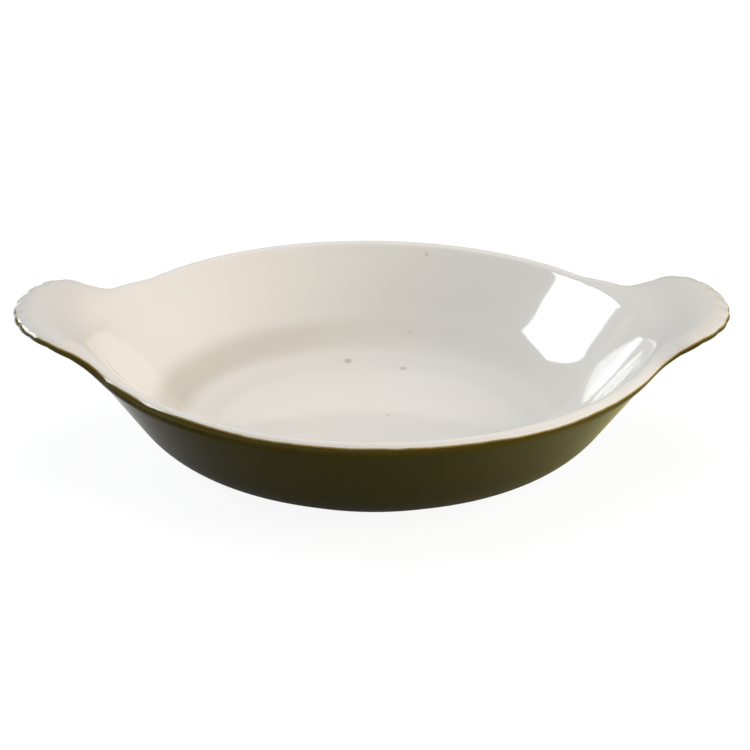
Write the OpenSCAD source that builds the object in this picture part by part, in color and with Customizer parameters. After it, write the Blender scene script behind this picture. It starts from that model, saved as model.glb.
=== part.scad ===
// Shirred egg dish: a round, shallow baking dish made in one piece of thick
// glazed stoneware, with a flared wall, a full round lip, a low foot ring and
// two scalloped shell handles that carry the wall outward and curl it level.
// The origin is the middle of the foot, on the table, and +Z is up.
// The handles lie along X.

/* [Bowl] */
// Outside diameter of the round rim, without the handles
rim_d = 160; // [130:1:200]
// Height of the top of the rim above the table
rim_h = 34; // [28:0.5:42]
// Thickness of the flared wall, which the lip closes with a full round
wall_t = 4.6; // [3.8:0.1:6]
// Slope of the flared wall above the horizontal, in degrees
wall_slope = 53.2; // [48:0.1:62]
// Outside radius of the belly, between the wall and the base
belly_r = 30.5; // [24:0.5:36]
// Inside radius of the cove, between the wall and the floor
cove_r = 32; // [22:1:36]
// Height of the inside floor above the table
floor_h = 5.8; // [5:0.1:8]

/* [Foot] */
// Outside diameter of the foot ring
foot_d = 94; // [80:1:104]
// Width of the foot ring
foot_w = 5; // [3:0.5:8]
// Height of the foot ring, which is the depth of the recess under the base
foot_h = 1.4; // [0.8:0.1:2.2]
// Radius of the foot ring's two rounded edges
foot_round = 0.7; // [0.3:0.1:0.8]

/* [Shell handles] */
// Reach of each handle past the rim
handle_reach = 20.6; // [16:0.2:28]
// Width of the handle's oval end
handle_w = 58; // [44:1:66]
// Length of the handle's oval end, from its widest place to its tip
handle_nose = 21.6; // [16:0.2:26]
// Length of the oval's longer half, which runs into the bowl
handle_tail = 34; // [28:1:44]
// Thickness of the handle
handle_t = 4.3; // [3.4:0.1:5]
// Thickness of the handle at its edge
edge_t = 3.6; // [2.6:0.1:4.2]
// Width of the band along the edge in which the top rolls down to it
edge_roll = 5; // [3:0.5:7]
// Radius of the curl that turns the sloping wall level at the tip
curl_r = 26; // [22:1:40]
// How far the rim flares out at the roots of a handle
shoulder_flare = 2.4; // [1:0.2:6]
// Angle round the dish, from the middle of a handle, at which the flare is full
shoulder_full = 20; // [10:0.5:24]
// Angle round the dish, from the middle of a handle, at which the flare ends
shoulder_end = 38.5; // [32:0.5:52]
// Part of the handle's rise that is lost at its shoulders
shoulder_drop = 0.3; // [0:0.05:0.7]
// Size of the hollow corner between the flared rim and the oval end
corner_blend = 8; // [4:0.5:20]

/* [Scallops] */
// Number of scallops round the edge of each handle
scallops = 9; // [5:1:13]
// Angle of one scallop, seen from the point that the flutes fan out from
scallop_angle = 12.3; // [8:0.1:13]
// Distance inside the rim of the point that the flutes fan out from
fan_inset = 16; // [12:0.5:24]
// Depth of the notches between the scallops, in the outline
notch = 0.4; // [0:0.1:1.6]
// Depth of the flutes in the top of the handle, at its edge
flute_depth = 0.6; // [0:0.1:1]
// Depth of the flutes under the handle, at its edge
flute_under = 0.1; // [0:0.1:0.6]
// Length of the flutes, inward from the edge
flute_len = 8; // [4:0.5:14]

/* [Colours] */
// Olive glaze of the outside
outside_glaze = "#4b4220";
// Ivory glaze of the inside
inside_glaze = "#e0d9cd";

/* [Hidden] */
// The parts of the wall's section, worked out from the lip downwards
rim_r = rim_d/2;
lip_r = wall_t/2;
up = [cos(wall_slope), sin(wall_slope)];
out = [sin(wall_slope), -cos(wall_slope)];
lip = [rim_r - lip_r, rim_h - lip_r];
belly = arc_centre(belly_r - lip_r, foot_h + belly_r);
cove = arc_centre(cove_r + lip_r, floor_h + cove_r);
// The shell handle, on the rays that fan out from fan_x
fan_x = rim_r - fan_inset;
nose_x = rim_r + handle_reach - handle_nose;
// A handle's sides sink this far into the lip where they end
seat = 0.25;
// The root of a handle starts this far down inside the wall
root_depth = 3;
root_t = 2.2;
// Angles round the dish between which the shoulders lose their rise
drop_from = 14;
drop_to = 30;
// The roll fades to a plain round edge where a handle stands less than this past the rim
roll_fade = 8;
// Steps of the handle's surface: along a ray, over the roll, round the lower edge, and sideways
ray_steps = 7;
roll_steps = 5;
edge_steps = 3;
steps_per_scallop = 6;
side_steps = 8;
fan_end = 99;
scalloped = scallop_angle*(scallops + 1)/2;
round_fn = 128;

// Centre of an arc that touches a face of the wall and has its centre at the height z
function arc_centre(inset, z) =
    let (start = lip - out*inset)
    start + up*(z - start.y)/up.y;

function smooth(t) = let (c = min(max(t, 0), 1)) c*c*(3 - 2*c);
function round_max(a, b, size) = max(a, b) + pow(max(0, 1 - abs(a - b)/size), 2)*size/4;

// Distance along the ray at the angle a, from the fan point to a circle round the dish's axis
function to_circle(a, r) = sqrt(r*r - pow(fan_x*sin(a), 2)) - fan_x*cos(a);

// Distance along the same ray to the oval of the handle, which is longer towards the bowl
function to_oval(a) =
    let (
        long = abs(a) < atan2(handle_w/2, nose_x - fan_x) ? handle_nose : handle_tail,
        p = pow(cos(a)/long, 2) + pow(2*sin(a)/handle_w, 2),
        q = (fan_x - nose_x)*cos(a)/pow(long, 2),
        s = pow((fan_x - nose_x)/long, 2) - 1
    )
    (sqrt(q*q - p*s) - q)/p;

// Angle round the dish of the point at the distance d along the ray
function round_angle(a, d) = abs(atan2(d*sin(a), fan_x + d*cos(a)));
function round_radius(a, d) = norm([fan_x + d*cos(a), d*sin(a)]);

// 0 along the crest of a scallop, 1 in the notch beside it, and 0 past the last one
function notch_at(a) =
    abs(a) > scalloped ? 0 : 1 - abs(cos(180*(a + scalloped)/scallop_angle));

// Distance along the ray to the handle's edge: the flared rim, blended into the oval end
function to_edge(a) =
    let (
        rim = rim_r - seat,
        turn = round_angle(a, to_circle(a, rim)),
        flare = shoulder_flare*smooth((shoulder_end - turn)/(shoulder_end - shoulder_full))
    )
    round_max(to_circle(a, rim + flare), to_oval(a), corner_blend) - notch*notch_at(a);

// Height of the handle's middle surface: down the wall inside the lip, and past it on a curl
// that starts along the wall and ends level
function middle_height(a, d) =
    let (
        past = round_radius(a, d) - lip.x,
        lean = max(0, sin(wall_slope) - max(0, past)/curl_r),
        curl = curl_r*(sqrt(1 - lean*lean) - cos(wall_slope)),
        drop = shoulder_drop*smooth((round_angle(a, d) - drop_from)/(drop_to - drop_from))
    )
    lip.y + (past < 0 ? past*tan(wall_slope) : curl*(1 - drop));

function middle_slope(a, d) = atan((middle_height(a, d + 0.1) - middle_height(a, d - 0.1))/0.2);

// Half the handle's thickness at the distance d along the ray, between the lip and the edge
function half_at(a, d, edge) =
    let (root = to_circle(a, lip.x - root_depth), seam = to_circle(a, lip.x))
    (d < seam
        ? root_t + (handle_t - root_t)*(d - root)/(seam - root)
        : handle_t - (handle_t - edge_t)*pow((d - seam)/(edge - seam), 2))/2;

// 1 in a flute at the handle's edge, and less towards its end and its sides
function flute_at(a, d, edge) = notch_at(a)*pow(max(0, 1 - (edge - d)/flute_len), 2);

// One upright section of the handle, on the ray at the angle a: along the top from the root, down
// the roll to the edge, round the lower half of the edge, and back along the underside
function section(a) =
    let (
        edge = to_edge(a),
        root = to_circle(a, lip.x - root_depth),
        grown = smooth((edge - to_circle(a, rim_r))/roll_fade),
        roll = edge_t/2 + (edge_roll - edge_t/2)*grown
    )
    [
        for (i = [0:ray_steps])
            let (d = root + (edge - roll - root)*i/ray_steps)
            ray_point(a, d, half_at(a, d, edge) - flute_depth*flute_at(a, d, edge)),
        for (k = [1:roll_steps])
            let (turn = 90 - 90*k/roll_steps, d = edge - roll*(1 - cos(turn)))
            ray_point(a, d, sin(turn)*(half_at(a, d, edge) - flute_depth*flute_at(a, d, edge))),
        for (k = [1:edge_steps - 1])
            let (turn = 90*k/edge_steps, d = edge - edge_t/2*(1 - cos(turn)))
            ray_point(a, d, -sin(turn)*(edge_t/2 - flute_under*notch_at(a))),
        for (i = [ray_steps:-1:0])
            let (d = root + (edge - edge_t/2 - root)*i/ray_steps)
            ray_point(a, d, flute_under*flute_at(a, d, edge) - half_at(a, d, edge))
    ];

// The point at the distance d along the ray, moved square to the middle surface there
function ray_point(a, d, square) =
    let (
        slope = middle_slope(a, d),
        flat = d - square*sin(slope),
        z = middle_height(a, d) + square*cos(slope)
    )
    [fan_x + flat*cos(a), flat*sin(a), z];

// Closes a row of rings, each with the same number of points, into one solid
module loft(rings) {
    n = len(rings[0]);
    last = len(rings) - 1;
    points = [for (ring = rings) each ring];
    sides = [
        for (j = [0:last - 1], i = [0:n - 1])
            let (a = j*n + i, b = j*n + (i + 1)%n)
            each [[a, b + n, b], [a, a + n, b + n]]
    ];
    ends = [[for (i = [0:n - 1]) i], [for (i = [n - 1:-1:0]) last*n + i]];
    polyhedron(points, concat(sides, ends), convexity = 6);
}

module shell_handle() {
    side = (fan_end - scalloped)/side_steps;
    fine = scallop_angle/steps_per_scallop;
    angles = [
        for (i = [0:side_steps - 1]) -fan_end + i*side,
        for (i = [0:round(2*scalloped/fine)]) -scalloped + i*fine,
        for (i = [1:side_steps]) scalloped + i*side
    ];
    loft([for (a = angles) section(a)]);
}

// Half section of the body as if it were solid, from the base up to the middle of the lip
module body_section() {
    polygon([
        [0, foot_h],
        [belly.x, foot_h],
        belly + out*belly_r,
        lip + out*lip_r,
        lip - out*lip_r,
        [0, (lip - out*lip_r).y]
    ]);
    intersection() {
        translate(belly) circle(belly_r, $fn = round_fn);
        square([rim_r, (belly + out*belly_r).y]);
    }
}

// Half section of the hollow: the flat floor, the cove and the flared wall
module hollow_section() {
    rise = rim_h;
    polygon([
        [-1, floor_h],
        [cove.x, floor_h],
        cove + out*cove_r,
        lip - out*lip_r + up*rise,
        [-1, (lip - out*lip_r + up*rise).y]
    ]);
    intersection() {
        translate(cove) circle(cove_r, $fn = round_fn);
        square([rim_r, (cove + out*cove_r).y]);
    }
}

// Half section of the foot ring, a band with two rounded lower edges that runs up into the body
module foot_section() {
    inner = foot_d/2 - foot_w;
    translate([inner + foot_round, 0]) square([foot_w - 2*foot_round, lip.y]);
    translate([inner, foot_round]) square([foot_w, lip.y - foot_round]);
    for (x = [foot_round, foot_w - foot_round])
        translate([inner + x, foot_round]) circle(foot_round, $fn = round_fn/4);
}

module bowl() {
    rotate_extrude($fn = round_fn) {
        difference() {
            union() {
                body_section();
                foot_section();
            }
            hollow_section();
        }
        translate(lip) circle(lip_r, $fn = round_fn/2);
    }
}

module dish() {
    union() {
        color(outside_glaze) bowl();
        color(inside_glaze)
            for (turn = [0, 180])
                rotate([0, 0, turn]) shell_handle();
    }
}

dish();
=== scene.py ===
"""A shirred egg dish in two glazes, ivory inside and olive outside, and the studio that shows it."""

from math import acos, asin, atan2, comb, cos, hypot, pi, radians, sin, sqrt, tan

import bpy
from bpy.props import FloatProperty, FloatVectorProperty, IntProperty, PointerProperty
from mathutils import Matrix, Vector


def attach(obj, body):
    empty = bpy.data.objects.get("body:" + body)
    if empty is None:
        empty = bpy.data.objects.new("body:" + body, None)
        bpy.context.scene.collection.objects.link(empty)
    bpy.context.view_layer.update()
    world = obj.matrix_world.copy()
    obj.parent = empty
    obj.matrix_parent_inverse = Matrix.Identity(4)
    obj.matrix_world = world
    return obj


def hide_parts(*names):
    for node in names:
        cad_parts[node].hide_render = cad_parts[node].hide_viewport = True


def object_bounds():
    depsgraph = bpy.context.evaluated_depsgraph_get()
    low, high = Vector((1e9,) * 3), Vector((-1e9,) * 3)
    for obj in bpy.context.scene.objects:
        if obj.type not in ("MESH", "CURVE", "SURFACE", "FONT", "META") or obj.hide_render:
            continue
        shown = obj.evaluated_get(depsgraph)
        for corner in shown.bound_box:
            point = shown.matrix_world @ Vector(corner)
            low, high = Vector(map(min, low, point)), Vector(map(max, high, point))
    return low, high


bl_info = {
    "name": "Shirred Egg Dish",
    "version": (1, 0, 0),
    "blender": (4, 5, 0),
    "location": "View3D > Sidebar > Egg Dish",
    "description": "Turns a glazed egg dish, draws out its shell handles and sets a studio round it",
    "category": "Add Mesh",
}

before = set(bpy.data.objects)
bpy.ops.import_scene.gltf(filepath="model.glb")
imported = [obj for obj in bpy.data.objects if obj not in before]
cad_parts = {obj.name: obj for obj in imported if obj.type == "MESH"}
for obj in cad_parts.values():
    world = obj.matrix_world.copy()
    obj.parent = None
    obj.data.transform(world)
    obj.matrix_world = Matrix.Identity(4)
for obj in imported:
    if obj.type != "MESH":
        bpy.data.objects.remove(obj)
CAD_LOW, CAD_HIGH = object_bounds()
RIM = CAD_HIGH.y - CAD_LOW.y

# Rows of points on the dish's section, each counted along one stretch of it.
ROWS_FLOOR = 5
ROWS_COVE = 24
ROWS_TOP = 30
ROWS_ROLL = 10
ROWS_EDGE = 7
ROWS_UNDER = 26
ROWS_BELLY = 16
ROWS_RECESS = 6

# Points from which the rows of the wall's two faces are spread: up the slope, and out over the handle.
SLOPE_POINTS = 12
FAN_POINTS = 32

# Steps round the quarter: on the fluted fan by scallops, and past it up to each angle.
STEPS_PER_SCALLOP = 12
QUARTER_STEPS = ((radians(24), 28), (radians(46), 28), (pi / 2, 34))

# The section's curves are run into each other by a mean over 13 places, weighted as a bell.
EASE_STEP = 0.0012
EASE = [comb(12, k) / 4096 for k in range(13)]

# How far the handle's outline stands past the rim where each of its features is full.
TURNED_FULL = 0.003
EDGE_FULL = 0.006
ROLL_FULL = 0.008
SOFTEST = 0.0015

# Angles round the dish between which the spokes turn from the handle's fan to the bowl's radii.
FANNED_TO = radians(20)
RADIAL_FROM = radians(36)

# Steps for slopes that are measured on the shape itself.
MIDDLE_STEP = 0.00025
RAY_STEP = 0.01

# The sine of the curl's steepest lean, and how near the axis a vertex counts as on it.
STEEPEST = 0.95
ON_AXIS = 1e-4


def size(name, description, default):
    """A length that a user can change, in metres."""
    return FloatProperty(
        name=name, description=description, default=default, min=0, unit="LENGTH", subtype="DISTANCE"
    )


def angle(name, description, default):
    """An angle that a user can change, given in degrees and kept in radians."""
    return FloatProperty(
        name=name, description=description, default=radians(default), unit="ROTATION", subtype="ANGLE"
    )


def number(name, description, default):
    """A plain number that a user can change."""
    return FloatProperty(name=name, description=description, default=default)


def colour(name, description, default):
    """A colour that a user can change, in linear values."""
    return FloatVectorProperty(
        name=name, description=description, default=default, size=3, min=0, max=1, subtype="COLOR"
    )


class DishSizes(bpy.types.PropertyGroup):
    """Sizes of the round bowl."""

    rim_diameter: size("Rim diameter", "Outside diameter of the round rim", RIM)
    rim_height: size("Rim height", "Height of the rim above the table", 0.034)
    wall: size("Wall", "Thickness of the flared wall and of its round lip", 0.0046)
    slope: angle("Wall slope", "Slope of the flared wall above the horizontal", 53.2)
    belly: size("Belly radius", "Outside radius between the wall and the base", 0.0305)
    cove: size("Cove radius", "Inside radius between the wall and the floor", 0.032)
    hollow: size("Wall hollow", "Radius on which the inside of the wall is slightly hollow", 0.5)
    floor_height: size("Floor height", "Height of the inside floor above the table", 0.0058)
    floor_flat: size("Flat floor", "Distance from the middle at which the cove's finer rows begin", 0.036)
    foot_diameter: size("Foot diameter", "Outside diameter of the foot ring", 0.094)
    foot_width: size("Foot width", "Width of the foot ring", 0.005)
    foot_height: size("Foot height", "Height of the foot ring", 0.0014)
    foot_round: size("Foot rounding", "Radius of the foot ring's edges and corners", 0.0007)


class HandleSizes(bpy.types.PropertyGroup):
    """Sizes of the two shell handles."""

    reach: size("Reach", "Reach of each handle past the rim", 0.0206)
    width: size("Width", "Width of the handle's oval end", 0.058)
    nose: size("Nose", "Length of the oval end, from its widest place to its tip", 0.0216)
    tail: size("Tail", "Length of the oval's longer half, which runs into the bowl", 0.034)
    edge: size("Edge thickness", "Thickness of the handle at its edge", 0.0036)
    edge_roll: size("Edge roll", "Width of the band in which the top rolls down to the edge", 0.005)
    edge_sag: size("Edge sag", "How far the outermost line lies below the middle of the wall", 0.0008)
    curl: size("Curl radius", "Radius on which the wall turns level", 0.026)
    flare: size("Shoulder flare", "How far the rim flares out at a handle's roots", 0.0024)
    flare_full: angle("Flare full", "Angle round the dish at which the flare is full", 20)
    flare_end: angle("Flare end", "Angle round the dish at which the flare ends", 38.5)
    drop: number("Shoulder drop", "Part of the rise that is lost at the shoulders", 0.3)
    drop_from: angle("Drop from", "Angle round the dish at which the shoulder starts to drop", 14)
    drop_to: angle("Drop to", "Angle round the dish at which the shoulder has dropped", 30)
    corner: size("Corner blend", "Size of the hollow corner beside the oval end", 0.008)
    scallops: IntProperty(name="Scallops", description="Scallops round the handle", default=9, min=3)
    scallop: angle("Scallop angle", "Angle of one scallop on the fan", 12.3)
    fan_inset: size("Fan inset", "Distance inside the rim of the point that the flutes fan from", 0.016)
    notch: size("Notch", "Depth of the notches between scallops", 0.00025)
    flute: size("Flute depth", "Depth of the flutes in the top", 0.0004)
    flute_under: size("Flute depth below", "Depth of the flutes underneath", 0.0001)
    flute_length: size("Flute length", "Length of the flutes, inward from the edge", 0.0048)


class GlazeLook(bpy.types.PropertyGroup):
    """Colours and gloss of the two glazes and of the bare clay, the line between the glazes, and the
    painted shade in the cove and on the handles.
    """

    ivory: colour("Ivory", "Glaze of the inside", (0.745, 0.705, 0.655))
    ivory_cool: colour("Cool ivory", "Glaze where it lies thicker", (0.73, 0.705, 0.665))
    # Darker ivory in the cove: glaze pooled there, together with painted shade that is deepest on the left.
    pooled_and_shaded: colour("Pooled ivory", "Glaze where it has pooled in the cove", (0.585, 0.55, 0.485))
    # Darker ivory on the handles past the rim: painted shade.
    handle_shade: colour("Thinned ivory", "Glaze where it has run thin on the handles", (0.65, 0.615, 0.575))
    olive: colour("Olive", "Glaze of the outside", (0.034, 0.028, 0.003))
    olive_thin: colour("Thin olive", "Olive glaze where it thins under the lip", (0.060, 0.044, 0.005))
    amber: colour("Amber", "Line where the two glazes run together", (0.30, 0.21, 0.05))
    clay: colour("Clay", "Bare clay of the foot", (0.52, 0.42, 0.31))
    pit: colour("Pit", "Dark speck in the ivory glaze", (0.12, 0.11, 0.10))
    gloss: number("Glaze roughness", "Roughness of both glazes", 0.07)
    dry: number("Clay roughness", "Roughness of the bare clay", 0.75)
    line: size("Glaze line", "How far above the outermost line of the lip the olive glaze ends", 0.0013)
    wander: size("Wander", "How far the glaze line wanders up and down", 0.0004)
    lean: number("Lean", "How much higher the olive glaze ends for each metre to the left", 0.0085)


class StudioLook(bpy.types.PropertyGroup):
    """The camera, the table's colour and the light from all round."""

    distance: size("Camera distance", "Distance from the camera to the dish", 1.0)
    elevation: angle("Elevation", "Angle of the camera above the table", 23.104)
    orbit: angle("Orbit", "Angle of the camera round the dish", -2.43)
    roll: angle("Roll", "Roll of the camera", -0.55)
    lens: number("Lens", "Focal length in pixels of a 750 pixel frame", 3504.1)
    across: number("Across", "Where the base lies across the frame, in pixels", -3.77)
    above: number("Above", "Where the base lies up the frame, in pixels", -70.33)
    table: colour("Table", "Colour of the table", (0.86, 0.86, 0.86))
    daylight: number("Daylight", "Strength of the light from all round", 0.36)


def smooth(t):
    """0 below 0, 1 above 1 and a soft step between."""
    t = min(max(t, 0.0), 1.0)
    return t * t * (3 - 2 * t)


def round_max(a, b, blend):
    """The larger of two lengths, rounded where they cross."""
    return max(a, b) + max(0.0, 1 - abs(a - b) / blend) ** 2 * blend / 4


def arc(centre, radius, start, end, count):
    """Points on an arc in the section's plane, angles counted from straight out."""
    turns = [start + (end - start) * i / count for i in range(count + 1)]
    return [centre + radius * Vector((cos(t), sin(t))) for t in turns]


def straight(start, end, count):
    """Points on a straight line, without its first."""
    return [start.lerp(end, (i + 1) / count) for i in range(count)]


def rounded(before, corner, after, radius, count=4):
    """Points on the arc that rounds a corner of the section."""
    a, b = (before - corner).normalized(), (after - corner).normalized()
    half = acos(max(-1.0, min(1.0, a.dot(b)))) / 2
    centre = corner + (a + b).normalized() * radius / sin(half)
    first = corner + a * radius / tan(half) - centre
    last = corner + b * radius / tan(half) - centre
    start = atan2(first.y, first.x)
    sweep = (atan2(last.y, last.x) - start + pi) % (2 * pi) - pi
    return arc(centre, radius, start, start + sweep, count)


def spread_evenly(points, count):
    """A path's ends, and count - 1 points evenly along it between them."""
    along = [0.0]
    for a, b in zip(points, points[1:]):
        along.append(along[-1] + (b - a).length)
    made, k = [points[0]], 0
    for i in range(1, count):
        want = along[-1] * i / count
        while along[k + 1] < want:
            k += 1
        made.append(points[k].lerp(points[k + 1], (want - along[k]) / (along[k + 1] - along[k])))
    return made + [points[-1]]


class Form:
    """The dish's shape. A quarter is modelled, from the middle of a handle to the bowl's side."""

    def __init__(self, bowl, shell):
        self.bowl, self.shell = bowl, shell
        self.rim, self.half = bowl.rim_diameter / 2, bowl.wall / 2
        self.up = Vector((cos(bowl.slope), sin(bowl.slope)))
        self.out = Vector((sin(bowl.slope), -cos(bowl.slope)))
        self.lip = Vector((self.rim - self.half, bowl.rim_height - self.half))
        self.lip_inside = self.lip - self.out * self.half
        self.belly = self.arc_centre(bowl.belly - self.half, bowl.foot_height + bowl.belly)
        self.fan = self.rim - shell.fan_inset
        self.nose = self.rim + shell.reach - shell.nose
        self.fluted = shell.scallop * (shell.scallops + 1) / 2
        last = self.to_circle(self.fluted, self.lip.x)
        self.fluted_turn = atan2(last * sin(self.fluted), self.fan + last * cos(self.fluted))

    def arc_centre(self, inset, z):
        """Centre, at the height z, of an arc that touches a face of the wall."""
        start = self.lip - self.out * inset
        return start + self.up * (z - start.y) / self.up.y

    def wall_start(self):
        """Distance from the axis at which the middle of the wall's straight part begins."""
        return (self.belly + self.out * self.bowl.belly).x - self.half * self.out.x

    def inside_height(self, r):
        """Height of the inside at a distance from the axis: floor, cove, hollow wall, straight lip."""
        bowl, top = self.bowl, self.lip_inside
        wall = top - self.out * bowl.hollow
        turns = acos((wall.y - bowl.floor_height - bowl.cove) / (bowl.hollow - bowl.cove))
        meets = wall.x + bowl.hollow * sin(turns)
        flat = meets - bowl.cove * sin(turns)
        if r < flat:
            return bowl.floor_height
        if r < meets:
            return bowl.floor_height + bowl.cove - sqrt(bowl.cove**2 - (r - flat) ** 2)
        if r < top.x:
            return wall.y - sqrt(bowl.hollow**2 - (r - wall.x) ** 2)
        return top.y + (r - top.x) * tan(bowl.slope)

    def inside(self, r):
        """That height with its curves run softly into each other."""
        return sum(w * self.inside_height(abs(r + (k - 6) * EASE_STEP)) for k, w in enumerate(EASE))

    def inside_rows(self):
        """The floor and the cove, from the middle to the foot of the wall."""
        first, last = self.bowl.floor_flat, self.wall_start() - self.half * self.out.x
        radii = [first * i / ROWS_FLOOR for i in range(ROWS_FLOOR)]
        radii += [first + (last - first) * i / ROWS_COVE for i in range(ROWS_COVE)]
        return [Vector((r, self.inside(r))) for r in radii]

    def outside_rows(self):
        """The belly, the foot ring and the recess, from under the wall to the middle."""
        bowl = self.bowl
        outer, inner = bowl.foot_diameter / 2, bowl.foot_diameter / 2 - bowl.foot_width
        meets = asin((outer - self.belly.x) / bowl.belly)
        belly = arc(self.belly, bowl.belly, bowl.slope - pi / 2, meets - pi / 2, ROWS_BELLY)
        ring = [Vector((outer, 0)), Vector((inner, 0)), Vector((inner, bowl.foot_height))]
        path = belly[-2:] + ring + [Vector((0, bowl.foot_height))]
        rows = belly[1:-2]
        shares_of_rounding = (0.5, 1.0, 1.0, 0.9)
        for share, before, corner, after in zip(shares_of_rounding, path, path[1:], path[2:]):
            rows += rounded(before, corner, after, share * bowl.foot_round)
        return rows + straight(rows[-1], path[-1], ROWS_RECESS)

    def to_circle(self, ray, radius):
        """Distance along a ray of the fan to a circle round the dish's axis."""
        return sqrt(radius**2 - (self.fan * sin(ray)) ** 2) - self.fan * cos(ray)

    def to_oval(self, ray):
        """Distance along a ray of the fan to the handle's oval end."""
        shell = self.shell
        length = shell.nose if abs(ray) < atan2(shell.width / 2, self.nose - self.fan) else shell.tail
        back = self.fan - self.nose
        p = (cos(ray) / length) ** 2 + (2 * sin(ray) / shell.width) ** 2
        q = back * cos(ray) / length**2
        s = (back / length) ** 2 - 1
        return (sqrt(q * q - p * s) - q) / p

    def flare(self, turn):
        """How far the rim flares out at an angle round the dish."""
        shell = self.shell
        return shell.flare * smooth((shell.flare_end - turn) / (shell.flare_end - shell.flare_full))

    def edge_point(self, ray):
        """The handle's outline on a ray, across the crests of its scallops."""
        d = self.to_circle(ray, self.rim)
        turn = abs(atan2(d * sin(ray), self.fan + d * cos(ray)))
        flared = self.to_circle(ray, self.rim + self.flare(turn))
        d = round_max(flared, self.to_oval(ray), self.shell.corner)
        return Vector((self.fan + d * cos(ray), d * sin(ray)))

    def notch_at(self, ray):
        """0 on the crest of a scallop and 1 in the notch beside it."""
        if abs(ray) > self.fluted:
            return 0.0
        return 1 - abs(cos(pi * (ray + self.fluted) / self.shell.scallop))

    def middle(self, x, y, soft):
        """Height of the middle of the wall over a place: the flared wall, and past the lip the curl."""
        shell, slope = self.shell, self.bowl.slope
        past = hypot(x, y) - self.lip.x
        lean = min(max(0.0, sin(slope) - past / shell.curl), STEEPEST)
        drop = shell.drop * smooth((abs(atan2(y, x)) - shell.drop_from) / (shell.drop_to - shell.drop_from))
        wall = past * tan(slope)
        curl = shell.curl * (sqrt(1 - lean * lean) - cos(slope)) * (1 - drop)
        curled = smooth((past + soft) / (2 * soft)) if soft > 0 else past > 0
        return self.lip.y + wall + (curl - wall) * curled

    def normal(self, x, y, soft, share):
        """Upward normal of the wall's middle, or of the plain flared wall where share is 0."""
        s = MIDDLE_STEP
        dx = (self.middle(x + s, y, soft) - self.middle(x - s, y, soft)) / (2 * s)
        dy = (self.middle(x, y + s, soft) - self.middle(x, y - s, soft)) / (2 * s)
        r = hypot(x, y)
        plain = Vector((-self.out.x * x / r, -self.out.x * y / r, -self.out.y))
        return plain.lerp(Vector((-dx, -dy, 1)).normalized(), share).normalized()


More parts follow.
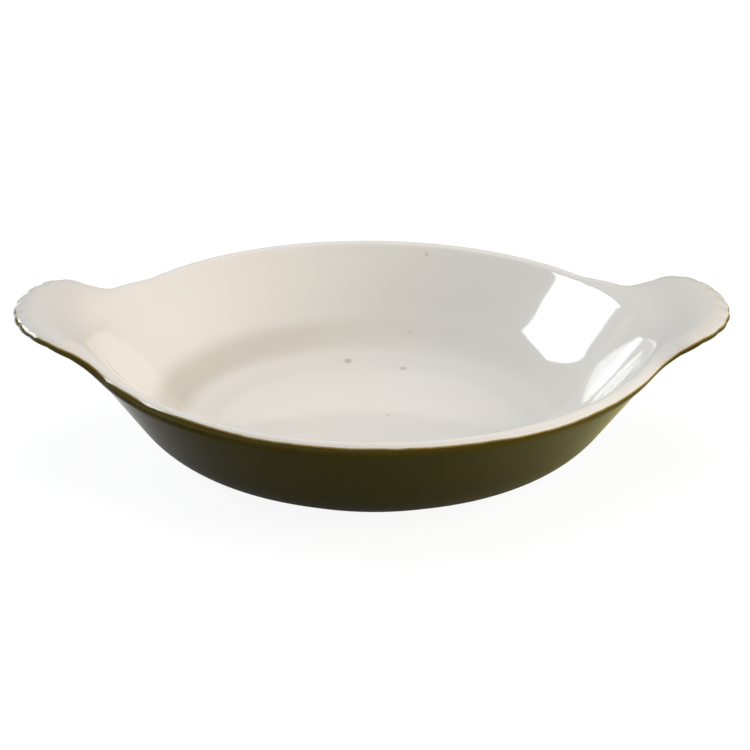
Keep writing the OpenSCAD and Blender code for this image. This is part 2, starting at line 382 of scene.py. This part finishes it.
class Spoke:
    """One upright section through the wall, from the cove over the edge to the belly. On the handle it
    follows a ray of the fan, and round the bowl a radius."""

    def __init__(self, form, turn):
        self.form, self.shell, self.turn = form, form.shell, turn
        if turn <= form.fluted_turn:
            ray = form.fluted * turn / form.fluted_turn
            d = form.to_circle(ray, form.lip.x)
            self.crosses = Vector((form.fan + d * cos(ray), d * sin(ray)))
        else:
            self.crosses = form.lip.x * Vector((cos(turn), sin(turn)))
            far = form.rim + form.flare(turn)
            fanned = atan2(self.crosses.y, self.crosses.x - form.fan)
            radial = atan2(far * sin(turn), far * cos(turn) - form.fan)
            ray = fanned + (radial - fanned) * smooth((turn - FANNED_TO) / (RADIAL_FROM - FANNED_TO))
        edge = form.edge_point(ray)
        along = form.edge_point(ray + RAY_STEP) - form.edge_point(ray - RAY_STEP)
        self.outward = Vector((along.y, -along.x)).normalized()
        gap = edge.length - form.rim
        self.share = smooth(gap / TURNED_FULL)
        self.soft = max(0.0, min(SOFTEST, gap))
        self.thick = form.half + (self.shell.edge / 2 - form.half) * smooth(gap / EDGE_FULL)
        self.roll = self.thick + (self.shell.edge_roll - self.thick) * smooth(gap / ROLL_FULL)
        self.sag = self.shell.edge_sag * smooth(gap / EDGE_FULL)
        self.notch = form.notch_at(ray)
        fanwise = (edge - Vector((form.fan, 0))).normalized()
        self.stands = edge - self.outward * self.thick - self.shell.notch * self.notch * fanwise

    def centre(self, p):
        """The point of the wall's middle over a place."""
        return Vector((p.x, p.y, self.form.middle(p.x, p.y, self.soft)))

    def normal(self, p):
        """The wall's upward normal over a place."""
        return self.form.normal(p.x, p.y, self.soft, self.share)

    def half(self, p):
        """Half the wall's thickness at a place past the lip's circle."""
        across = (self.stands - self.crosses).length
        u = min(1.0, (p - self.crosses).length / across)
        return self.form.half + (self.thick - self.form.half) * u * u

    def flute(self, beside, depth):
        """Depth of the flute at a distance from the outermost line."""
        return depth * self.notch * max(0.0, 1 - beside / self.shell.flute_length) ** 2

    def face(self, end, side, depth):
        """One face of the wall, from the foot of its slope to the edge: side is 1 on top."""
        form = self.form
        start, seam = form.wall_start(), atan2(self.crosses.y, self.crosses.x)
        made = []
        for i in range(SLOPE_POINTS):
            turned = self.turn + (seam - self.turn) * i / SLOPE_POINTS
            out = start + (form.lip.x - start) * i / SLOPE_POINTS
            p = out * Vector((cos(turned), sin(turned)))
            place = self.centre(p) + side * form.half * self.normal(p)
            if side > 0:
                past = hypot(place.x, place.y) - form.lip_inside.x
                plain = form.lip_inside.y + past * tan(form.bowl.slope)
                place.z += form.inside(past + form.lip_inside.x) - plain
            made.append(place)
        for i in range(FAN_POINTS + 1):
            p = self.crosses.lerp(end, i / FAN_POINTS)
            hollow = self.flute((self.stands - p).length + self.thick, depth)
            made.append(self.centre(p) + side * (self.half(p) - hollow) * self.normal(p))
        return made

    def edge_rows(self, side, up):
        """The rows that roll over the edge, from the top to the under face."""
        shell, thick, stands = self.shell, self.thick, self.stands
        made = []
        for k in range(1, ROWS_ROLL + 1):
            t = pi / 2 * (1 - k / ROWS_ROLL)
            beside = self.roll * (1 - cos(t))
            if beside >= thick:
                p = stands - self.outward * (beside - thick)
                base, normal, half = self.centre(p), self.normal(p), self.half(p)
            else:
                base, normal, half = self.centre(stands) + (thick - beside) * side, up, thick
            rise = sin(t) * (half + self.sag - self.flute(beside, shell.flute)) - self.sag
            made.append(base + rise * normal)
        deep = thick - self.sag - self.notch * shell.flute_under
        for k in range(1, ROWS_EDGE):
            t = pi / 2 * k / ROWS_EDGE
            made.append(self.centre(stands) + thick * cos(t) * side - (self.sag + deep * sin(t)) * up)
        return made

    def rows(self):
        """Places of the wall's rows, from the cove over the edge to the belly, and how far each lies past
        the outermost line of the lip."""
        shell, stands = self.shell, self.stands
        top = self.face(stands - self.outward * (self.roll - self.thick), 1, shell.flute)
        top = spread_evenly(top, ROWS_TOP)
        under = spread_evenly(self.face(stands, -1, shell.flute_under), ROWS_UNDER)
        under.reverse()
        up = self.normal(stands)
        side = Vector((self.outward.x, self.outward.y, 0))
        side = (side - side.dot(up) * up).normalized()
        rows = top + self.edge_rows(side, up) + under
        outermost = len(top) + ROWS_ROLL - 1
        past = [0.0] * len(rows)
        past[outermost] = atan2(-side.z, up.z) * self.thick
        for i in range(outermost + 1, len(rows)):
            past[i] = past[i - 1] + (rows[i] - rows[i - 1]).length
        for i in range(outermost - 1, -1, -1):
            past[i] = past[i + 1] - (rows[i] - rows[i + 1]).length
        return rows, past


def deselect():
    """Leaves object mode with nothing selected."""
    if bpy.context.object and bpy.context.object.mode != "OBJECT":
        bpy.ops.object.mode_set(mode="OBJECT")
    bpy.ops.object.select_all(action="DESELECT")


class DISH_OT_turn_bowl(bpy.types.Operator):
    """Draws the dish's section point by point and turns a quarter of the bowl from it"""

    bl_idname = "dish.turn_bowl"
    bl_label = "Turn the bowl"

    def execute(self, context):
        form = Form(context.scene.dish_sizes, context.scene.handle_sizes)
        wall = [Vector((p.y, p.z)) for p in Spoke(form, pi / 2).rows()[0]]
        section = form.inside_rows() + wall + form.outside_rows()
        deselect()
        bpy.ops.mesh.primitive_plane_add(size=0.01, location=(0, 0, section[0].y))
        dish = context.object
        dish.name = dish.data.name = "egg_dish"
        bpy.ops.object.mode_set(mode="EDIT")
        bpy.ops.mesh.select_all(action="SELECT")
        bpy.ops.mesh.merge(type="CENTER")
        for a, b in zip(section, section[1:]):
            step = (b.x - a.x, 0, b.y - a.y)
            bpy.ops.mesh.extrude_region_move(TRANSFORM_OT_translate={"value": step})
        bpy.ops.object.mode_set(mode="OBJECT")
        bpy.ops.object.transform_apply(location=True, rotation=True, scale=True)
        row = dish.data.attributes.new("row", "INT", "POINT")
        for v in dish.data.vertices:
            place = Vector((v.co.x, v.co.z))
            row.data[v.index].value = min(range(len(section)), key=lambda i: (section[i] - place).length)
        bpy.ops.object.mode_set(mode="EDIT")
        bpy.ops.mesh.select_all(action="SELECT")
        fluted_steps = (form.shell.scallops + 1) * STEPS_PER_SCALLOP // 2
        at = 0.0
        for end, steps in ((form.fluted_turn, fluted_steps), *QUARTER_STEPS):
            bpy.ops.mesh.spin(steps=steps, angle=at - end, center=(0, 0, 0), axis=(0, 0, 1))
            at = end
        bpy.ops.object.mode_set(mode="OBJECT")
        return {"FINISHED"}


class DISH_OT_draw_handles(bpy.types.Operator):
    """Draws the lip out into a fluted shell handle, and mirrors the quarter into the whole dish"""

    bl_idname = "dish.draw_handles"
    bl_label = "Draw out the handles"

    def execute(self, context):
        form = Form(context.scene.dish_sizes, context.scene.handle_sizes)
        dish = bpy.data.objects["egg_dish"]
        mesh = dish.data
        inside, outside = form.inside_rows(), form.outside_rows()
        first = len(inside)
        row = mesh.attributes["row"].data
        spokes, middles = {}, []
        for v in mesh.vertices:
            if hypot(v.co.x, v.co.y) > ON_AXIS:
                spokes.setdefault(round(atan2(v.co.y, v.co.x), 5), []).append((v, row[v.index].value))
            else:
                middles.append(v)
        past_edge = mesh.attributes.new("past_edge", "FLOAT", "POINT").data
        for turn, members in spokes.items():
            places, past = Spoke(form, turn).rows()
            below = first + len(places)
            for v, k in members:
                if k < first:
                    past_edge[v.index].value = past[0] - (inside[-1] - inside[k]).length
                elif k >= below:
                    past_edge[v.index].value = past[-1] + (outside[k - below] - outside[0]).length
                else:
                    v.co = places[k - first]
                    past_edge[v.index].value = past[k - first]
        for v in middles:
            past_edge[v.index].value = -1.0 if v.co.z > form.bowl.floor_height / 2 else 1.0
        mesh.attributes.remove(mesh.attributes["row"])
        deselect()
        dish.select_set(True)
        context.view_layer.objects.active = dish
        mirror = dish.modifiers.new("halves", "MIRROR")
        mirror.use_axis = (True, True, False)
        mirror.merge_threshold = 1e-6
        bpy.ops.object.modifier_apply(modifier=mirror.name)
        bpy.ops.object.mode_set(mode="EDIT")
        bpy.ops.mesh.select_all(action="SELECT")
        bpy.ops.mesh.remove_doubles(threshold=2e-6)
        bpy.ops.mesh.normals_make_consistent(inside=False)
        bpy.ops.object.mode_set(mode="OBJECT")
        bpy.ops.object.shade_smooth()
        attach(dish, "root")
        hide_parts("dish")
        return {"FINISHED"}


class Nodes:
    """A short way to write the nodes of a new material or world."""

    def __init__(self, owner, coordinates="Object"):
        owner.use_nodes = True
        self.tree = owner.node_tree
        self.here = self.add("ShaderNodeTexCoord").outputs[coordinates]

    def add(self, kind):
        """A new node."""
        return self.tree.nodes.new(kind)

    def link(self, value, socket):
        """Joins an output to a socket, or sets the socket to a plain value."""
        if isinstance(value, bpy.types.NodeSocket):
            self.tree.links.new(value, socket)
        else:
            socket.default_value = (*value, 1) if socket.type == "RGBA" and len(value) == 3 else value

    def maths(self, operation, *values):
        """One step of arithmetic."""
        node = self.add("ShaderNodeMath")
        node.operation = operation
        for value, socket in zip(values, node.inputs):
            self.link(value, socket)
        return node.outputs[0]

    def product(self, first, *others):
        """The product of two or more values."""
        for other in others:
            first = self.maths("MULTIPLY", first, other)
        return first

    def noise(self, scale, detail=2.0):
        """Soft noise round 0.5, its scale in waves per metre."""
        node = self.add("ShaderNodeTexNoise")
        self.link(self.here, node.inputs["Vector"])
        node.inputs["Scale"].default_value = scale
        node.inputs["Detail"].default_value = detail
        return node.outputs[0]

    def step(self, value, start, end, low=0.0, high=1.0):
        """A soft step from low to high as a value goes from start to end."""
        node = self.add("ShaderNodeMapRange")
        node.interpolation_type = "SMOOTHSTEP"
        for given, socket in zip((value, start, end, low, high), node.inputs):
            self.link(given, socket)
        return node.outputs[0]

    def mix(self, share, a, b):
        """Mixes two colours."""
        node = self.add("ShaderNodeMix")
        node.data_type = "RGBA"
        self.link(share, node.inputs[0])
        self.link(a, node.inputs[6])
        self.link(b, node.inputs[7])
        return node.outputs[2]

    def place(self):
        """The three coordinates of the place that is shaded, or of the direction in a world."""
        node = self.add("ShaderNodeSeparateXYZ")
        self.link(self.here, node.inputs[0])
        return node.outputs

    def distance(self, point):
        """Distance from a point of the dish."""
        node = self.add("ShaderNodeVectorMath")
        node.operation = "DISTANCE"
        self.link(self.here, node.inputs[0])
        node.inputs[1].default_value = point
        return node.outputs["Value"]

    def rays(self):
        """1 for rays that come from the camera, and 1 for rays that a glossy or clear surface sends on."""
        path = self.add("ShaderNodeLightPath").outputs
        sent_on = self.maths("MAXIMUM", path["Is Glossy Ray"], path["Is Transmission Ray"])
        return path["Is Camera Ray"], sent_on


# Dark specks in the ivory glaze: the middle of each, its radius and its strength.
PITS = (
    ((-0.0052, 0.0474, 0.0070), 0.0017, 0.4),
    ((0.0110, 0.0429, 0.0062), 0.0016, 0.35),
    ((0.0051, 0.0085, 0.0058), 0.0010, 0.2),
    ((0.0137, 0.0570, 0.0121), 0.0011, 0.2),
    ((0.0192, 0.0723, 0.0316), 0.0009, 0.25),
)

# Distances from the dish's axis over which the glazes change, and over which painted shade darkens the cove
# and the handles.
POOL_AND_SHADE_BEGINS = (0.05, 0.0555)
POOL_AND_SHADE_ENDS = (0.0635, 0.0585)
SHADED_ON_HANDLES = (0.078, 0.088)
LEVEL_ON_HANDLES = (0.092, 0.081)

# The pooled glaze and painted shade in the cove are faint on the right and full on the left: two places
# along X, and their strength at each.
POOL_AND_SHADE_FILLS = (0.02, -0.05, 0.25, 1.1)

# Distances into the olive glaze, from its end, over which one glaze goes over into the next.
AMBER_BEGINS = (-0.00018, 0.00012)
AMBER_ENDS = (0.0001, 0.0006)
OLIVE_THICKENS = (0.0012, 0.0032)

# Heights above the table over which the glaze gives way to bare clay.
BARE = (0.0003, 0.00012)

# The glaze's refraction, how far its line ripples along the lip, and how high its surface waves.
GLAZE_IOR = 1.52
LINE_RIPPLE = 0.0004
SURFACE_WAVE = 0.0004


def ivory_glaze(n, look, out, x):
    """The inside's glaze: uneven, pooled in the cove, with painted shade in the cove and on the handles,
    and with its dark specks.
    """
    ivory = n.mix(n.step(n.noise(18, 3), 0.35, 0.65), look.ivory, look.ivory_cool)
    # Painted shade, together with pooled glaze, darkens the cove: faint on the right and full on the left.
    pool_and_shade = n.product(n.step(out, *POOL_AND_SHADE_BEGINS), n.step(out, *POOL_AND_SHADE_ENDS), n.step(x, *POOL_AND_SHADE_FILLS))
    uneven = n.step(n.noise(22, 2), 0.2, 0.7, 0.65, 1.0)
    ivory = n.mix(n.product(pool_and_shade, uneven), ivory, look.pooled_and_shaded)
    # Painted shade darkens the handles past the rim.
    ivory = n.mix(n.step(out, *SHADED_ON_HANDLES, 0.0, 0.8), ivory, look.handle_shade)
    for middle, radius, strength in PITS:
        ivory = n.mix(n.step(n.distance(middle), radius, radius * 0.2, 0.0, strength), ivory, look.pit)
    return ivory


def into_olive(n, look, out, x):
    """How far a place lies into the olive glaze, whose end leans and wanders along the lip."""
    attribute = n.add("ShaderNodeAttribute")
    attribute.attribute_name = "past_edge"
    wander = n.product(n.maths("SUBTRACT", n.noise(28, 1), 0.5), 3 * look.wander)
    ripple = n.product(n.maths("SUBTRACT", n.noise(260, 2), 0.5), LINE_RIPPLE)
    leans = n.product(x, n.step(out, *LEVEL_ON_HANDLES, 0.1, 1.0))
    leaning = n.maths("MULTIPLY_ADD", leans, -look.lean, look.line)
    past = n.maths("ADD", attribute.outputs["Fac"], leaning)
    return n.maths("ADD", past, n.maths("ADD", wander, ripple))


def glaze_material(look):
    """Both glazes, the amber line between them, and the bare foot."""
    material = bpy.data.materials.new("glazes")
    n = Nodes(material)
    shader = n.tree.nodes["Principled BSDF"]
    x, y, z = n.place()
    out = n.maths("SQRT", n.maths("MULTIPLY_ADD", x, x, n.product(y, y)))
    into = into_olive(n, look, out, x)
    olive = n.mix(n.step(into, *OLIVE_THICKENS), look.olive_thin, look.olive)
    edge = n.mix(n.step(into, *AMBER_ENDS), look.amber, olive)
    glazed = n.mix(n.step(into, *AMBER_BEGINS), ivory_glaze(n, look, out, x), edge)
    bare = n.step(z, *BARE)
    n.link(n.mix(bare, glazed, look.clay), shader.inputs["Base Color"])
    n.link(n.step(bare, 0, 1, look.gloss, look.dry), shader.inputs["Roughness"])
    shader.inputs["IOR"].default_value = GLAZE_IOR
    bump = n.add("ShaderNodeBump")
    bump.inputs["Strength"].default_value = 0.5
    bump.inputs["Distance"].default_value = SURFACE_WAVE
    n.link(n.product(n.noise(55, 1), 0.5), bump.inputs["Height"])
    n.link(bump.outputs[0], shader.inputs["Normal"])
    return material


class DISH_OT_glaze(bpy.types.Operator):
    """Glazes the dish"""

    bl_idname = "dish.glaze"
    bl_label = "Glaze the dish"

    def execute(self, context):
        dish = bpy.data.objects["egg_dish"]
        dish.data.materials.clear()
        dish.data.materials.append(glaze_material(context.scene.glaze_look))
        return {"FINISHED"}


# The lamps: a name, the angle round the dish, elevation and distance at which it hangs, its width and
# height, its radiance and its tint.
LAMPS = (
    ("key", (-17, 24, 1.6), (1.2, 0.9), 5.2, (1.0, 0.91, 0.8)),
    ("top", (90, 82, 1.6), (1.2, 1.2), 2.6, (0.98, 0.99, 1.0)),
    ("window_light", (154, 27, 1.6), (1.2, 0.9), 3.3, (0.82, 0.94, 1.0)),
)

# The window that the glaze mirrors: its corners, as angles round and elevations seen from a point in the
# right side of the bowl, and its distance, radiance and tint.
WINDOW_SEEN_FROM = Vector((0.055, 0, 0.02))
WINDOW_CORNERS = ((133, 16.9), (168, 17), (169, 40), (141, 34))
WINDOW_DISTANCE = 1.5
WINDOW_RADIANCE = 10
WINDOW_TINT = (0.97, 0.99, 1.0)

# The table: its size, how far it lies below the foot, how brightly the camera sees it glow, and how much
# of what the camera sees is that glow.
TABLE_SIZE = 8
TABLE_DROP = 0.0001
TABLE_SEEN = 1.08
TABLE_SEEN_SHARE = 0.85

# The table as the glaze mirrors it, a glow with painted light and a painted shadow of the dish: where it
# brightens out from under the dish, behind the dish and far off, and the places along X over which it dims
# and turns warm.
LIT_FROM_DISH = (0.035, 0.11)
LIT_BEHIND = (-0.1, 0.05)
LIT_FAR_OFF = (0.35, 0.8)
DIMS_TO_RIGHT = (0.02, 0.14, 1.3, 0.4)
WARMS_TO_RIGHT = (-0.05, 0.06)
WHITE = (1, 1, 1)
WARM = (1, 0.91, 0.45)

# The room as the glaze mirrors it, over parts of the direction that it is seen in: its brightness by
# height and from behind the camera forward, and the sides and brightness of the doorway.
ROOM_BY_HEIGHT = (0.7, 0.25, 0.2, 0.22)
ROOM_BY_DEPTH = (-0.4, 0.3, 0.4, 1.0)
DOORWAY_TOP = (-0.54, -0.6)
DOORWAY_LEFT = (-0.62, -0.6)
DOORWAY_FRONT = (0.1, 0.3)
DOORWAY_RADIANCE = 0.5

# Width of the camera's sensor in millimetres, and of the frame that the lens was fitted in.
SENSOR = 36
FRAME_PIXELS = 750


def table_material(look):
    """A pale table that keeps the dish's shadow. The camera sees it nearly white, and the glaze mirrors a
    glow painted on it instead: a painted shadow under the dish and in front of it, painted light behind,
    and warm and dimmer on the right."""
    material = bpy.data.materials.new("table")
    n = Nodes(material)
    shader, output = n.tree.nodes["Principled BSDF"], n.tree.nodes["Material Output"]
    shader.inputs["Base Color"].default_value = (*look.table, 1)
    shader.inputs["Roughness"].default_value = 0.9
    shader.inputs["Specular IOR Level"].default_value = 0.1
    x, y, _ = n.place()
    out = n.distance((0, 0, 0))
    behind = n.step(n.maths("MULTIPLY_ADD", x, 0.35, y), *LIT_BEHIND)
    lit = n.maths("MAXIMUM", behind, n.step(out, *LIT_FAR_OFF))
    mirrored = n.product(lit, n.step(out, *LIT_FROM_DISH), n.step(x, *DIMS_TO_RIGHT))
    seen, bounced = n.rays()
    glow = n.add("ShaderNodeEmission")
    n.link(n.step(bounced, 0, 1, TABLE_SEEN, n.maths("ADD", mirrored, 0.02)), glow.inputs["Strength"])
    n.link(n.mix(n.product(bounced, n.step(x, *WARMS_TO_RIGHT)), WHITE, WARM), glow.inputs["Color"])
    both = n.add("ShaderNodeMixShader")
    n.link(n.maths("ADD", n.product(seen, TABLE_SEEN_SHARE), bounced), both.inputs[0])
    n.link(shader.outputs[0], both.inputs[1])
    n.link(glow.outputs[0], both.inputs[2])
    n.link(both.outputs[0], output.inputs[0])
    return material


def studio_world(look):
    """Soft light from all round. The camera sees white, and the glaze mirrors a dim room that is dimmer
    behind the camera, with a paler doorway low on the left."""
    world = bpy.data.worlds.new("studio")
    n = Nodes(world, "Generated")
    x, y, z = n.place()
    room = n.product(n.step(z, *ROOM_BY_HEIGHT), n.step(y, *ROOM_BY_DEPTH))
    low = n.step(n.maths("MULTIPLY_ADD", x, 1.3, z), *DOORWAY_TOP)
    doorway = n.product(low, n.step(x, *DOORWAY_LEFT), n.step(y, *DOORWAY_FRONT))
    mirrored = n.maths("MULTIPLY_ADD", doorway, DOORWAY_RADIANCE, room)
    seen, bounced = n.rays()
    strength = n.step(bounced, 0, 1, look.daylight, mirrored)
    background = n.tree.nodes["Background"]
    n.link(n.step(seen, 0, 1, strength, 1.0), background.inputs["Strength"])
    background.inputs["Color"].default_value = (*WHITE, 1)
    return world


def heading(turn, rise):
    """Unit vector at an angle round the dish and an elevation, in degrees."""
    turn, rise = radians(turn), radians(rise)
    return Vector((cos(turn) * cos(rise), sin(turn) * cos(rise), sin(rise)))


def lay_table(look):
    """The table, a hair below the foot so that the two faces don't fight."""
    deselect()
    bpy.ops.mesh.primitive_plane_add(size=TABLE_SIZE, location=(0, 0, -TABLE_DROP))
    table = bpy.context.object
    table.name = table.data.name = "table"
    table.data.materials.append(table_material(look))


def hang_window():
    """A bright window that only the glaze mirrors."""
    deselect()
    bpy.ops.mesh.primitive_plane_add(size=1)
    pane = bpy.context.object
    pane.name = pane.data.name = "window"
    loop = [pane.data.loops[i].vertex_index for i in pane.data.polygons[0].loop_indices]
    for index, corner in zip(loop, WINDOW_CORNERS):
        pane.data.vertices[index].co = WINDOW_SEEN_FROM + WINDOW_DISTANCE * heading(*corner)
    material = bpy.data.materials.new("window")
    n = Nodes(material)
    glow = n.add("ShaderNodeEmission")
    glow.inputs["Color"].default_value = (*WINDOW_TINT, 1)
    glow.inputs["Strength"].default_value = WINDOW_RADIANCE
    n.link(glow.outputs[0], n.tree.nodes["Material Output"].inputs[0])
    pane.data.materials.append(material)
    pane.visible_camera = pane.visible_diffuse = pane.visible_shadow = False


def hang_lamp(name, stands, shape, radiance, tint):
    """A rectangular lamp that lights the dish without showing in the glaze."""
    place = heading(*stands[:2]) * stands[2]
    deselect()
    bpy.ops.object.light_add(type="AREA", location=place)
    lamp = bpy.context.object
    lamp.name = lamp.data.name = name
    lamp.data.shape = "RECTANGLE"
    lamp.data.size, lamp.data.size_y = shape
    lamp.data.energy, lamp.data.color = radiance * pi * shape[0] * shape[1], tint
    lamp.rotation_euler = (-place).to_track_quat("-Z", "Y").to_euler()
    lamp.visible_glossy = lamp.visible_camera = False


def camera_place(look):
    """The camera's place and its turn, from the angles and pixels that the frame was fitted with."""
    spin = Matrix.Rotation(look.orbit, 3, "Z")
    e = look.elevation
    back = spin @ Vector((0, -cos(e), sin(e)))
    right = spin @ Vector((1, 0, 0))
    up = spin @ Vector((0, sin(e), cos(e)))
    turn = Matrix((right, up, back)).transposed()
    roll = Matrix.Rotation(-look.roll, 3, "Z")
    pan = Matrix.Rotation(atan2(look.across, look.lens), 3, "Y")
    tilt = Matrix.Rotation(-atan2(look.above, look.lens), 3, "X")
    return back * look.distance, turn @ roll @ pan @ tilt


def place_camera(look):
    """The camera, with the photograph's frame."""
    deselect()
    bpy.ops.object.camera_add()
    camera = bpy.context.object
    camera.name = camera.data.name = "camera"
    place, turn = camera_place(look)
    camera.location = place
    camera.rotation_euler = turn.to_euler()
    camera.data.sensor_width = SENSOR
    camera.data.lens = look.lens * SENSOR / FRAME_PIXELS
    camera.data.clip_start, camera.data.clip_end = 0.05, 20
    bpy.context.scene.camera = camera


class DISH_OT_set_studio(bpy.types.Operator):
    """Lays the table, hangs the window and the lamps, and places the camera"""

    bl_idname = "dish.set_studio"
    bl_label = "Set the studio"

    def execute(self, context):
        look = context.scene.studio_look
        lay_table(look)
        place_camera(look)
        context.scene.world = studio_world(look)
        hang_window()
        for lamp in LAMPS:
            hang_lamp(*lamp)
        context.scene.view_settings.view_transform = "Standard"
        return {"FINISHED"}


class DISH_PT_panel(bpy.types.Panel):
    """Sizes and looks of the dish, and the steps that make it"""

    bl_label = "Egg Dish"
    bl_idname = "DISH_PT_panel"
    bl_space_type = "VIEW_3D"
    bl_region_type = "UI"
    bl_category = "Egg Dish"

    def draw(self, context):
        for name in GROUPS:
            box = self.layout.box()
            group = getattr(context.scene, name)
            for prop in group.bl_rna.properties:
                if prop.identifier not in ("name", "rna_type"):
                    box.prop(group, prop.identifier)
        for step in STEPS:
            self.layout.operator(step.bl_idname)


GROUPS = {
    "dish_sizes": DishSizes,
    "handle_sizes": HandleSizes,
    "glaze_look": GlazeLook,
    "studio_look": StudioLook,
}
STEPS = (DISH_OT_turn_bowl, DISH_OT_draw_handles, DISH_OT_glaze, DISH_OT_set_studio)


def register():
    """Registers the classes and gives the scene its groups."""
    for cls in (*GROUPS.values(), *STEPS, DISH_PT_panel):
        bpy.utils.register_class(cls)
    for name, cls in GROUPS.items():
        setattr(bpy.types.Scene, name, PointerProperty(type=cls))


def unregister():
    """Takes the groups and the classes away again."""
    for name in GROUPS:
        delattr(bpy.types.Scene, name)
    for cls in (DISH_PT_panel, *reversed(STEPS), *reversed(GROUPS.values())):
        bpy.utils.unregister_class(cls)


def main():
    """Makes the dish and the studio."""
    register()
    bpy.ops.dish.turn_bowl()
    bpy.ops.dish.draw_handles()
    bpy.ops.dish.glaze()
    bpy.ops.dish.set_studio()


if __name__ == "__main__":
    main()
